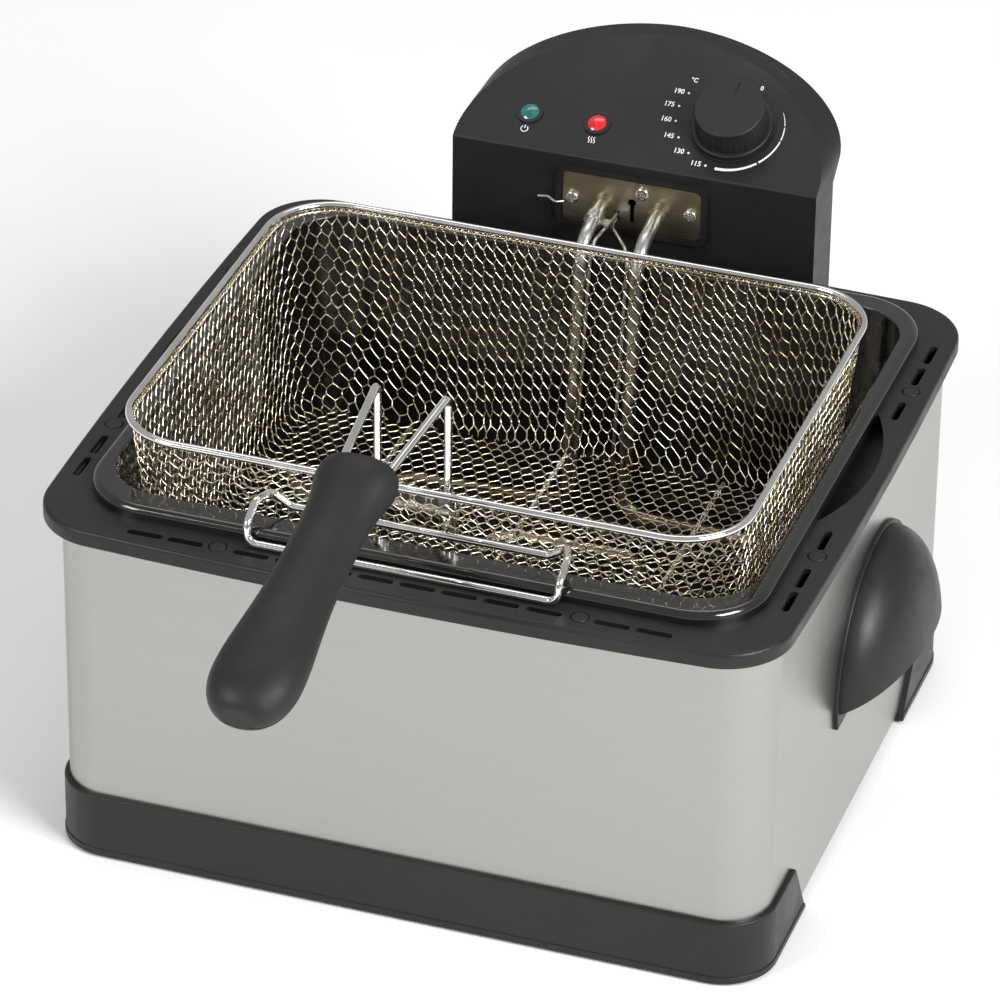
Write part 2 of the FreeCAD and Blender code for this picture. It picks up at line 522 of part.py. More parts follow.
def yz_rr(hx, z0, z1, r, y0, y1):
    w = rr(hx, z0, z1, r, 0)
    s = Part.Face(w).extrude(V(0, 0, 1.0 * (y1 - y0)))
    m = FreeCAD.Matrix(1, 0, 0, 0, 0, 0, -1, y1, 0, 1, 0, 0, 0, 0, 0, 1)
    return s.transformGeometry(m)


border = yz_rr(PX + 3.4, PZ0 - 3.0, PZ1 + 3.0, 6.0, HEAD_Y - 2.2, HEAD_Y + 1.0).cut(yz_rr(PX + 0.4, PZ0 - 0.4, PZ1 + 0.4, 3.4, HEAD_Y - 6, HEAD_Y + 6))
fsh = fsh.fuse(border)
fsh = fsh.cut(yz_rr(PX - 3.0, PZ0 + 3.0, PZ1 - 3.0, 2.5, HEAD_Y - 6, HEAD_Y + 6))
# tongues that run in the housing's rails
for sx in (-1, 1):
    fsh = fsh.fuse(box(sx * 70 - 6.5, sx * 70 + 6.5, 159.6, HEAD_Y + 1, 80, 168))
# holes for lamps and knob shaft
for x in (LAMP_GREEN, LAMP_RED):
    fsh = fsh.cut(cyl(panel(x, LAMP_S, 3), N * -1, 5.9, 12))
fsh = fsh.cut(cyl(panel(KNOB_X, KNOB_S, 3), N * -1, 3.6, 12))
# shallow round recess under the knob
fsh = fsh.cut(cyl(panel(KNOB_X, KNOB_S, -0.6), N, 21.6, 4))
put("head_front_shell", fsh.removeSplitter())
# rear cover: vents, screw wells, button and gland holes
RC = HEAD_BACK
for i in range(7):
    rsh = rsh.cut(box(-60, -20, RC - 5, RC + 5, 170 + i * 5.5, 172.6 + i * 5.5))
    rsh = rsh.cut(box(20, 60, RC - 5, RC + 5, 170 + i * 5.5, 172.6 + i * 5.5))
BTN = V(48, RC, 118)
GLD = V(-52, RC, 92)
rsh = rsh.cut(cyl(BTN - V(0, 8, 0), V(0, 1, 0), 4.6, 16))
rsh = rsh.cut(cyl(GLD - V(0, 8, 0), V(0, 1, 0), 5.0, 16))
put("head_rear_cover", rsh.removeSplitter())
RCS = [(-78, 80), (78, 80), (-78, 200), (78, 200)]
put("rear_cover_screws", comp([screw_head(V(x, RC, z), V(0, 1, 0), 3.2, 1.8) for x, z in RCS]))
put("cord_gland", fillet(cyl(GLD - V(0, 4, 0), V(0, 1, 0), 4.8, 6).fuse(cyl(GLD, V(0, 1, 0), 8.0, 3.5)).fuse(cyl(GLD + V(0, 3.5, 0), V(0, 1, 0), 6.2, 8.5)).removeSplitter(), 1.2,
                         lambda b, e: b.YMin > RC + 11.9).cut(cyl(GLD - V(0, 10, 0), V(0, 1, 0), 3.5, 30)))

# element plate with keyhole and drain slot
pt = yz_rr(PX, PZ0, PZ1, 3.0, HEAD_Y - 1.3, HEAD_Y)
pt = pt.cut(cyl(V(0.4, HEAD_Y - 5, 211.4), V(0, 1, 0), 2.1, 10)).cut(box(-0.7, 1.5, HEAD_Y - 5, HEAD_Y + 5, 200.5, 211.4))
pt = pt.cut(box(-8.6, -5.8, HEAD_Y - 5, HEAD_Y + 5, 200.2, 206.0))
for sx in (-1, 1):
    pt = pt.cut(cyl(V(sx * TUBE_X, HEAD_Y - 5, TUBE_Z), V(0, 1, 0), TUBE_R + 0.02, 10))
put("element_plate", pt)
PS = [(-30.2, 209.4), (5.7, 217.6), (30.3, 210.0)]
put("plate_screws", comp([screw_head(V(x, HEAD_Y - 1.3, z), V(0, -1, 0), 3.4, 2.0, 1.0) for x, z in PS]))
put("element_ferrules", comp([cyl(V(sx * TUBE_X, HEAD_Y - 1.3, TUBE_Z), V(0, -1, 0), 5.4, 1.6).fuse(cyl(V(sx * TUBE_X, HEAD_Y - 2.9, TUBE_Z), V(0, -1, 0), 4.5, 2.2)).removeSplitter().cut(
    cyl(V(sx * TUBE_X, HEAD_Y + 5, TUBE_Z), V(0, -1, 0), TUBE_R + 0.02, 20)) for sx in (-1, 1)]))
# heating element: two legs over the bowl's edge and a looped run near the floor of the bowl
EZ = 64.0
LEG_LOW = TUBE_Y - 10.0
pts = [(-TUBE_X, HEAD_Y + 14, TUBE_Z), (-TUBE_X, HEAD_Y - 8, TUBE_Z), (-TUBE_X, TUBE_Y + 4, TUBE_Z - 4.5), (-TUBE_X, LEG_LOW, EZ), (-104, LEG_LOW - 4, EZ), (-104, -96, EZ), (-40, -96, EZ), (-40, 84, EZ),
       (40, 84, EZ), (40, -96, EZ), (104, -96, EZ), (104, LEG_LOW - 4, EZ), (TUBE_X, LEG_LOW, EZ), (TUBE_X, TUBE_Y + 4, TUBE_Z - 4.5), (TUBE_X, HEAD_Y - 8, TUBE_Z), (TUBE_X, HEAD_Y + 14, TUBE_Z)]
el = tube(path(pts, [30, 17, 12, 14, 16, 16, 16, 16, 16, 16, 14, 12, 17, 30]), TUBE_R)
print("element", el.isValid(), el.Volume)
put("heating_element", el)
# sensor bulbs held on the element and the thin tubes that lead to them
bulb1 = cyl(V(-92.0, -40, EZ + 6.6), V(0, 1, 0), 2.6, 95)
bulb2 = cyl(V(92.0, -40, EZ + 6.6), V(0, 1, 0), 2.3, 80)
put("thermostat_bulb", bulb1)
put("cutout_bulb", bulb2)
cp = []
cp.append(tube(path([(-7.2, HEAD_Y + 10, 204.4), (-7.2, HEAD_Y - 10, 204.4), (-9.4, TUBE_Y + 4, 204.0), (-9.4, LEG_LOW - 6.5, EZ + 8), (-92.0, LEG_LOW - 16, EZ + 6.6), (-92.0, 55.0, EZ + 6.6)], [10, 9, 8, 10]), 0.9))
cp.append(tube(path([(-7.2, HEAD_Y + 10, 201.6), (-7.2, HEAD_Y - 10, 201.6), (9.4, TUBE_Y + 4, 203.0), (9.4, LEG_LOW - 6.5, EZ + 8), (92.0, LEG_LOW - 16, EZ + 6.6), (92.0, 40.0, EZ + 6.6)], [10, 9, 8, 10]), 0.9))
put("capillaries", comp(cp))
clips = []
for x, ys in ((-1, (-25, 35)), (1, (-25, 25))):
    for y in ys:
        c = cyl(V(x * 104, y, EZ), V(0, 1, 0), TUBE_R + 1.1, 5).fuse([cyl(V(x * 92, y, EZ + 6.6), V(0, 1, 0), 3.7, 5), box(min(x * 92, x * 104), max(x * 92, x * 104), y, y + 5, EZ + 3.2, EZ + 4.6)])
        c = c.cut(cyl(V(x * 104, y - 1, EZ), V(0, 1, 0), TUBE_R + 0.02, 7)).cut(cyl(V(x * 92, y - 1, EZ + 6.6), V(0, 1, 0), 2.6 if x < 0 else 2.3, 7))
        clips.append(c)
put("bulb_clips", comp(clips))
# strap clamp on the left leg, near the plate
d = (V(-TUBE_X, TUBE_Y + 4, TUBE_Z - 4.5) - V(-TUBE_X, HEAD_Y - 8, TUBE_Z)).normalize()
p = V(-TUBE_X, HEAD_Y - 8, TUBE_Z) + d * 4.5
cl = cyl(p, d, TUBE_R + 1.0, 5).fuse(box(-TUBE_X + 3.0, -TUBE_X + 8.5, HEAD_Y - 18.2, HEAD_Y - 13.0, TUBE_Z - 2.6, TUBE_Z - 1.4)).cut(cyl(p - d * 5, d, TUBE_R + 0.02, 16))
put("element_clamp", cl)
# short crimped wire end that stands out at the plate's left edge
put("wire_stub", tube(path([(-34.4, HEAD_Y - 2.4, 206.6), (-38.0, HEAD_Y - 4.6, 206.6), (-42, HEAD_Y - 3.8, 208.6), (-47, HEAD_Y - 4.4, 208.2)], [2.5, 2.5]), 0.7))

# lamps
def lamp(x):
    b = cyl(panel(x, LAMP_S, -2.2), N * 1, 5.8, 2.9)
    b = b.cut(cyl(panel(x, LAMP_S, -4), N, 4.75, 8))
    ringo = cyl(panel(x, LAMP_S, 0.0), N, 6.7, 0.8).cut(cyl(panel(x, LAMP_S, -1), N, 4.75, 8))
    return b.fuse(ringo).removeSplitter()


def lens(x):
    """Turned lens: a straight barrel with a shallow dome, drawn upright and then set square to the panel."""
    top = [V(4.7, 0, 5.575), V(2.6, 0, 6.52), V(0.6, 0, 6.88)]
    pts = [V(0, 0, 0), V(4.7, 0, 0), top[0]]
    e = [Part.LineSegment(pts[0], pts[1]).toShape(), Part.LineSegment(pts[1], pts[2]).toShape(), Part.Arc(*top).toShape(),
         Part.LineSegment(top[2], V(0, 0, 6.88)).toShape(), Part.LineSegment(V(0, 0, 6.88), pts[0]).toShape()]
    w = Part.Wire(e)
    s = Part.Face(w).revolve(V(0, 0, 0), V(0, 0, 1), 360)
    if s.Volume < 0:
        s.reverse()
    s.Placement = FreeCAD.Placement(panel(x, LAMP_S, -5.0), FreeCAD.Rotation(V(0, 0, 1), N))
    return s


put("lamp_bezels", comp([lamp(LAMP_GREEN), lamp(LAMP_RED)]))
put("power_lamp_lens", lens(LAMP_GREEN))
put("ready_lamp_lens", lens(LAMP_RED))
put("lamp_bodies", comp([cyl(panel(x, LAMP_S, -5.0), N * -1, 4.4, 9) for x in (LAMP_GREEN, LAMP_RED)]))


def obox(c, ux, uy, uz, lx, ly, lz):
    q = c - ux * (lx / 2) - uy * (ly / 2)
    f = Part.Face(Part.makePolygon([q, q + ux * lx, q + ux * lx + uy * ly, q + uy * ly, q]))
    return f.extrude(uz * lz)


put("thermostat_body", obox(panel(KNOB_X, KNOB_S - 3, -2.25), V(1, 0, 0), E2, N * -1, 24, 20, 11).cut(cyl(panel(KNOB_X, KNOB_S, 1), N * -1, 3.3, 11)))
put("thermal_cutout", cyl(V(BTN.x, 186.0, BTN.z), V(0, 1, 0), 9.0, 8).fuse(box(BTN.x - 11, BTN.x + 11, 184.0, 186.0, BTN.z - 9, BTN.z + 9)).removeSplitter())
tb = box(-30, 10, 180, 192, 100, 116)
for i in range(4):
    tb = tb.cut(cyl(V(-25 + i * 10, 193, 108), V(0, -1, 0), 2.4, 5))
put("terminal_block", tb)
put("microswitch", box(-80, -60, 176.5, 183, 150, 161).fuse(cyl(V(-70, 179.5, 149), V(0, 0, 1), 1.4, 3)).removeSplitter())

# dial ring round the knob, knob and shaft
put("dial_ring", cyl(panel(KNOB_X, KNOB_S, -0.6), N, 21.4, 0.9).cut(cyl(panel(KNOB_X, KNOB_S, -3), N, 3.6, 8)))
kb = panel(KNOB_X, KNOB_S, 0.7)
kn = cyl(kb, N, 20.4, 2.6)
kn = fillet(kn, 1.0, lambda b, e: (e.CenterOfMass - (kb + N * 2.6)).Length < 0.01)
cone = Part.makeCone(18.3, 17.3, 13.4, kb + N * 2.0, N)
nf = 40
u1, u2 = V(1, 0, 0), E2
flutes = []
for i in range(nf):
    a = 2 * math.pi * i / nf
    rad = u1 * math.cos(a) + u2 * math.sin(a)
    q = kb + N * 3.0 + rad * 18.95
    q2 = kb + N * 13.2 + rad * 18.3
    flutes.append(cyl(q, (q2 - q).normalize(), 0.95, (q2 - q).Length))
cone = cone.cut(comp(flutes))
cone = fillet(cone, 1.0, lambda b, e: (e.CenterOfMass - (kb + N * 15.4)).Length < 0.05)
pa = math.radians(5.0)
pd = u2 * math.cos(pa) + u1 * math.sin(pa)
pp = pd.cross(N).normalize()
mk = kb + N * 15.0 + pd * 8.0 - pp * 0.45
mark = Part.Face(Part.makePolygon([mk, mk + pp * 0.9, mk + pp * 0.9 + pd * 7.2, mk + pd * 7.2, mk])).extrude(N * 2)
cone = cone.cut(mark)
knob = kn.fuse(cone).removeSplitter()
knob = knob.cut(cyl(kb + N * -1, N, 3.0, 12))
put("knob", knob)
put("knob_shaft", cyl(panel(KNOB_X, KNOB_S, -8.5), N, 3.0, 8.5 + 0.7 + 11.0))
bt = cyl(BTN - V(0, 8.0, 0), V(0, 1, 0), 3.9, 10.8)
bt = fillet(bt, 0.8, lambda b, e: b.YMin > RC + 2.7)
bt = bt.fuse(cyl(BTN - V(0, 4.2, 0), V(0, 1, 0), 5.6, 1.2)).removeSplitter()
put("reset_button", bt)

# ================================================================ write
lo, hi_ = V(1e9, 1e9, 1e9), V(-1e9, -1e9, -1e9)
for n, s in shapes.items():
    s = s.copy()
    s.translate(V(0, YS, 0))
    b = s.BoundBox
    lo = V(min(lo.x, b.XMin), min(lo.y, b.YMin), min(lo.z, b.ZMin))
    hi_ = V(max(hi_.x, b.XMax), max(hi_.y, b.YMax), max(hi_.z, b.ZMax))
    print("%-26s valid=%s solids=%d vol=%.0f  x %.1f..%.1f y %.1f..%.1f z %.1f..%.1f" % (n, s.isValid(), len(s.Solids), s.Volume, b.XMin, b.XMax, b.YMin, b.YMax, b.ZMin, b.ZMax))
    s.exportStep("parts/" + n + ".step")
print("nodes", len(shapes), "box", lo, hi_, "centre y", (lo.y + hi_.y) / 2)
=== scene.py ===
"""Looks of the deep fryer: finishes on the CAD pieces, the woven wire of the basket and the printed dial."""

import json
import math
import random

import bpy
import numpy as np
from mathutils import Matrix, Vector, noise as mnoise


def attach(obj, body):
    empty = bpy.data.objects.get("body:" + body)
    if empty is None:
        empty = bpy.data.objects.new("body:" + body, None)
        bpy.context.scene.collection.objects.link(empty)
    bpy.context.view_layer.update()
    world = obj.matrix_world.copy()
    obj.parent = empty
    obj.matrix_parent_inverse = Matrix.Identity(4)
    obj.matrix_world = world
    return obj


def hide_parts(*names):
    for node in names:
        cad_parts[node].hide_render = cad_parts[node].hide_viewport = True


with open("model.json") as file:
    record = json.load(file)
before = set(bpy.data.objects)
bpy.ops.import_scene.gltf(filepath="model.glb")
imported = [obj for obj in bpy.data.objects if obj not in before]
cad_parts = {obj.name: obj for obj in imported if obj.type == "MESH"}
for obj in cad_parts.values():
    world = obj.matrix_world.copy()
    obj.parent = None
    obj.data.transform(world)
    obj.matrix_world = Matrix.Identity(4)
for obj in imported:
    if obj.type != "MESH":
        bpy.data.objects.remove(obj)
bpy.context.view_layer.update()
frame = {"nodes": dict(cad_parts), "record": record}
random.seed(11)
NODES = frame["nodes"]
YS = 41.2                      # the housing's own centre lies this far behind the origin, mm


def M(x, y, z):
    """mm about the housing's centre to metres in the row frame"""
    return Vector((x / 1000.0, (y + YS) / 1000.0, z / 1000.0))


# ------------------------------------------------------------------ materials
class Mat:
    def __init__(self, name):
        self.m = bpy.data.materials.new(name)
        self.m.use_nodes = True
        self.nt = self.m.node_tree
        self.b = self.nt.nodes["Principled BSDF"]
        self.co = self.nt.nodes.new("ShaderNodeTexCoord").outputs["Object"]

    def set(self, **kw):
        for k, v in kw.items():
            self.b.inputs[k.replace("_", " ")].default_value = v
        return self

    def node(self, kind, **kw):
        n = self.nt.nodes.new(kind)
        for k, v in kw.items():
            setattr(n, k, v)
        return n

    def link(self, a, b):
        self.nt.links.new(a, b)

    def mapping(self, scale, rot=(0, 0, 0)):
        n = self.node("ShaderNodeMapping")
        n.inputs["Scale"].default_value = scale
        n.inputs["Rotation"].default_value = rot
        self.link(self.co, n.inputs["Vector"])
        return n.outputs["Vector"]

    def noise(self, scale, detail=3.0, rough=0.55, vec=None, distortion=0.0):
        n = self.node("ShaderNodeTexNoise")
        n.inputs["Scale"].default_value = scale
        n.inputs["Detail"].default_value = detail
        n.inputs["Roughness"].default_value = rough
        n.inputs["Distortion"].default_value = distortion
        self.link(vec if vec is not None else self.co, n.inputs["Vector"])
        return n.outputs["Fac"]

    def voronoi(self, scale, feature="F1"):
        n = self.node("ShaderNodeTexVoronoi", feature=feature)
        n.inputs["Scale"].default_value = scale
        self.link(self.co, n.inputs["Vector"])
        return n.outputs["Distance"]

    def ramp(self, fac, a, b, p0=0.3, p1=0.7):
        n = self.node("ShaderNodeMapRange")
        n.inputs["From Min"].default_value = p0
        n.inputs["From Max"].default_value = p1
        n.inputs["To Min"].default_value = a
        n.inputs["To Max"].default_value = b
        self.link(fac, n.inputs["Value"])
        return n.outputs["Result"]

    def colours(self, fac, stops):
        n = self.node("ShaderNodeValToRGB")
        e = n.color_ramp.elements
        e[0].position, e[0].color = stops[0][0], (*stops[0][1], 1)
        e[1].position, e[1].color = stops[-1][0], (*stops[-1][1], 1)
        for p, c in stops[1:-1]:
            k = e.new(p)
            k.color = (*c, 1)
        self.link(fac, n.inputs["Fac"])
        return n.outputs["Color"]

    def base(self, col):
        self.link(col, self.b.inputs["Base Color"])
        return self

    def rough(self, val):
        self.link(val, self.b.inputs["Roughness"])
        return self

    def bump(self, height, strength=0.2, dist=0.0005):
        n = self.node("ShaderNodeBump")
        n.inputs["Strength"].default_value = strength
        n.inputs["Distance"].default_value = dist
        self.link(height, n.inputs["Height"])
        prev = self.b.inputs["Normal"].links
        if prev:
            self.link(prev[0].from_socket, n.inputs["Normal"])
        self.link(n.outputs["Normal"], self.b.inputs["Normal"])
        return self

    def math(self, op, a, b):
        n = self.node("ShaderNodeMath", operation=op)
        for i, v in enumerate((a, b)):
            if isinstance(v, (int, float)):
                n.inputs[i].default_value = v
            else:
                self.link(v, n.inputs[i])
        return n.outputs[0]


def mul(c, k):
    return tuple(min(1.0, x * k) for x in c)


def plastic(name, col, r0, r1, grain=1500.0, gs=0.10, spec=0.36, dust=0.0):
    """Moulded plastic: fine spark-eroded grain, faint sink and flow variation, a little handling shine."""
    m = Mat(name).set(Specular_IOR_Level=spec)
    cloud = m.noise(22.0, 4.0, 0.6)
    c = m.colours(cloud, [(0.32, mul(col, 0.86)), (0.55, col), (0.74, mul(col, 1.22))])
    m.base(c)
    fine = m.noise(grain, 2.0, 0.5)
    handling = m.noise(46.0, 5.0, 0.65, distortion=0.6)
    m.rough(m.math("ADD", m.ramp(handling, r0, r1, 0.33, 0.68), m.ramp(fine, -0.025, 0.025)))
    m.bump(fine, gs, 0.00022)
    m.bump(m.noise(160.0, 2.0, 0.5), 0.025, 0.0006)
    return m.m


def brushed(name, col, r0, r1, stretch, bump=0.05, var=0.09, aniso=0.0, smudge=0.05, metal=1.0):
    """Brushed sheet: long thin grain along the axes with a small stretch factor."""
    m = Mat(name).set(Metallic=metal, Anisotropic=aniso)
    v = m.mapping(stretch)
    g1 = m.noise(1.0, 6.0, 0.72, v)
    g2 = m.noise(2.7, 3.0, 0.6, v)
    cloud = m.noise(7.0, 3.0, 0.5)
    grain = m.math("ADD", m.math("MULTIPLY", g1, 0.62), m.math("MULTIPLY", g2, 0.38))
    mixed = m.math("ADD", m.math("MULTIPLY", grain, 0.86), m.math("MULTIPLY", cloud, 0.14))
    c = m.colours(mixed, [(0.30, mul(col, 1.0 - var)), (0.5, col), (0.70, mul(col, 1.0 + var))])
    m.base(c)
    m.rough(m.math("ADD", m.ramp(grain, r0, r1, 0.34, 0.66), m.ramp(cloud, -smudge / 2, smudge / 2)))
    m.bump(grain, bump, 0.0003)
    if aniso:
        t = m.node("ShaderNodeTangent", direction_type="RADIAL", axis="Z")
        m.link(t.outputs["Tangent"], m.b.inputs["Tangent"])
    return m.m


def chrome(name, col, r0=0.05, r1=0.16, bump=0.03, tint=None):
    m = Mat(name).set(Metallic=1.0)
    n = m.noise(240.0, 4.0, 0.6)
    w = m.noise(38.0, 3.0, 0.5)
    c2 = tint or mul(col, 0.86)
    m.base(m.colours(w, [(0.34, c2), (0.62, col)]))
    m.rough(m.ramp(n, r0, r1, 0.35, 0.7))
    m.bump(m.noise(520.0, 2.0, 0.5), bump, 0.0002)
    return m.m


def enamel(name, col):
    """Vitreous enamel: deep black, glossy, faint orange peel and a few pinpricks."""
    m = Mat(name).set(Specular_IOR_Level=0.55, Coat_Weight=0.6, Coat_Roughness=0.05, Coat_IOR=1.5)
    w = m.noise(30.0, 4.0, 0.6)
    m.base(m.colours(w, [(0.35, mul(col, 0.7)), (0.7, mul(col, 1.6))]))
    m.rough(m.ramp(m.noise(90.0, 4.0, 0.6), 0.08, 0.20, 0.35, 0.7))
    m.bump(m.noise(210.0, 2.0, 0.45), 0.05, 0.0006)
    pin = m.voronoi(420.0)
    m.bump(m.ramp(pin, 0.0, 1.0, 0.03, 0.16), 0.03, 0.0003)
    return m.m


def lens(name, col, deep, glow):
    m = Mat(name).set(Coat_Weight=1.0, Coat_Roughness=0.03, Specular_IOR_Level=0.6, Subsurface_Weight=0.0)
    w = m.noise(420.0, 3.0, 0.5)
    m.base(m.colours(w, [(0.35, deep), (0.65, col)]))
    m.rough(m.ramp(m.noise(900.0, 2.0, 0.5), 0.06, 0.14))
    v = m.voronoi(700.0)
    m.bump(v, 0.10, 0.0004)
    m.b.inputs["Emission Color"].default_value = (*col, 1)
    m.b.inputs["Emission Strength"].default_value = glow
    return m.m


def element_metal(name):
    """Stainless heater tube: drawn along its length, straw and brown heat tint lower down."""
    m = Mat(name).set(Metallic=1.0)
    sep = m.node("ShaderNodeSeparateXYZ")
    m.link(m.co, sep.inputs[0])
    low = m.ramp(sep.outputs["Z"], 1.0, 0.0, 0.075, 0.15)
    n = m.noise(34.0, 4.0, 0.6)
    heat = m.math("MULTIPLY", low, m.ramp(n, 0.25, 1.0, 0.3, 0.7))
    m.base(m.colours(heat, [(0.0, (0.60, 0.59, 0.56)), (0.45, (0.42, 0.34, 0.24)), (1.0, (0.20, 0.15, 0.12))]))
    m.rough(m.ramp(m.noise(300.0, 4.0, 0.6), 0.22, 0.40, 0.33, 0.67))
    m.bump(m.noise(1.0, 4.0, 0.7, m.mapping((900, 120, 120))), 0.08, 0.0002)
    return m.m


def rubber(name, col):
    m = Mat(name).set(Specular_IOR_Level=0.3)
    m.base(m.colours(m.noise(60.0, 4.0, 0.6), [(0.35, mul(col, 0.75)), (0.7, mul(col, 1.5))]))
    m.rough(m.ramp(m.noise(120.0, 3.0), 0.7, 0.9))
    m.bump(m.noise(900.0, 3.0), 0.25, 0.0003)
    return m.m


def ink(name, col):
    """Pad-printed ink: slightly uneven, a bit glossier than the plastic below."""
    m = Mat(name)
    m.base(m.colours(m.noise(700.0, 3.0, 0.6), [(0.30, mul(col, 0.80)), (0.55, col)]))
    m.rough(m.ramp(m.noise(500.0, 2.0), 0.35, 0.55))
    m.bump(m.noise(1500.0, 2.0), 0.08, 0.0001)
    return m.m


MATS = {
    "black_moulding": plastic("black_moulding", (0.0115, 0.0115, 0.0118), 0.36, 0.50, 1400, 0.14),
    "head_moulding": plastic("head_moulding", (0.0095, 0.0097, 0.0098), 0.40, 0.52, 1700, 0.12),
    "brushed_housing_steel": brushed("brushed_housing_steel", (0.41, 0.402, 0.383), 0.27, 0.38, (4.0, 4.0, 1100.0), 0.06, 0.07),
    "painted_panel": plastic("painted_panel", (0.014, 0.014, 0.015), 0.42, 0.58, 700, 0.3),
    "galvanised_pan": brushed("galvanised_pan", (0.42, 0.43, 0.44), 0.34, 0.55, (60.0, 60.0, 60.0), 0.04, 0.22),
    "rubber_black": rubber("rubber_black", (0.014, 0.014, 0.014)),
    "screw_steel": chrome("screw_steel", (0.72, 0.71, 0.68), 0.12, 0.26, 0.05),
    "black_enamel": enamel("black_enamel", (0.0052, 0.0054, 0.0050)),
    "basket_wire": chrome("basket_wire", (0.86, 0.80, 0.66), 0.14, 0.30, 0.06, (0.66, 0.56, 0.38)),
    "chrome_rod": chrome("chrome_rod", (0.86, 0.86, 0.85), 0.045, 0.12, 0.02, (0.74, 0.73, 0.70)),
    "grip_black": plastic("grip_black", (0.0105, 0.0105, 0.0108), 0.46, 0.58, 1700, 0.16),
    "plate_steel": brushed("plate_steel", (0.38, 0.35, 0.26), 0.24, 0.38, (14.0, 1100.0, 1100.0), 0.06, 0.12),
    "element_steel": element_metal("element_steel"),
    "lamp_green": lens("lamp_green", (0.008, 0.16, 0.135), (0.004, 0.07, 0.062), 0.05),
    "lamp_red": lens("lamp_red", (0.62, 0.010, 0.014), (0.36, 0.004, 0.008), 0.22),
    "inner_plastic": plastic("inner_plastic", (0.62, 0.58, 0.50), 0.45, 0.6, 900, 0.1),
    "knob_black": plastic("knob_black", (0.012, 0.012, 0.0122), 0.38, 0.50, 1500, 0.12),
    "button_red": plastic("button_red", (0.36, 0.012, 0.012), 0.25, 0.38, 900, 0.06),
}
INK = ink("dial_ink", (0.80, 0.80, 0.78))


# ------------------------------------------------------------------ CAD pieces: shading and finish
def smooth_group():
    g = bpy.data.node_groups.new("crisp_edges", "GeometryNodeTree")
    g.interface.new_socket("Geometry", in_out="INPUT", socket_type="NodeSocketGeometry")
    g.interface.new_socket("Geometry", in_out="OUTPUT", socket_type="NodeSocketGeometry")
    n = g.nodes
    gi, go = n.new("NodeGroupInput"), n.new("NodeGroupOutput")
    merge = n.new("GeometryNodeMergeByDistance")
    merge.inputs["Distance"].default_value = 1e-6
    f = n.new("GeometryNodeSetShadeSmooth")
    f.domain = "FACE"
    f.inputs["Shade Smooth"].default_value = True
    e = n.new("GeometryNodeSetShadeSmooth")
    e.domain = "EDGE"
    e.inputs["Shade Smooth"].default_value = False
    ang = n.new("GeometryNodeInputMeshEdgeAngle")
    cmp = n.new("FunctionNodeCompare")
    cmp.data_type, cmp.operation = "FLOAT", "GREATER_THAN"
    cmp.inputs[1].default_value = math.radians(32)
    g.links.new(gi.outputs[0], merge.inputs["Geometry"])
    g.links.new(merge.outputs["Geometry"], f.inputs["Geometry"])
    g.links.new(f.outputs["Geometry"], e.inputs["Geometry"])
    g.links.new(ang.outputs["Unsigned Angle"], cmp.inputs[0])
    g.links.new(cmp.outputs["Result"], e.inputs["Selection"])
    g.links.new(e.outputs["Geometry"], go.inputs[0])
    return g


CRISP = smooth_group()
SLOT = {s["node"]: s["material_slot"] for s in frame["record"]["subparts"]}
SPECIAL = {"head_front_shell": "head_moulding", "head_rear_cover": "head_moulding", "lamp_bezels": "head_moulding"}
for name, o in NODES.items():
    me = o.data
    for a in ("custom_normal",):
        if a in me.attributes:
            me.attributes.remove(me.attributes[a])
    me.materials.clear()
    me.materials.append(MATS[SPECIAL.get(name, SLOT[name])])
    md = o.modifiers.new("crisp", "NODES")
    md.node_group = CRISP
    wn = o.modifiers.new("weighted", "WEIGHTED_NORMAL")
    wn.keep_sharp = True
    wn.weight = 90


# ------------------------------------------------------------------ mesh helpers
def mesh_object(name, verts, faces, mat, body, smooth=True):
    me = bpy.data.meshes.new(name)
    me.from_pydata([tuple(v) for v in verts], [], [tuple(int(i) for i in f) for f in faces])
    me.polygons.foreach_set("use_smooth", [smooth] * len(me.polygons))
    me.materials.append(mat)
    me.update()
    o = bpy.data.objects.new(name, me)
    bpy.context.scene.collection.objects.link(o)
    if body:
        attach(o, body)
    return o


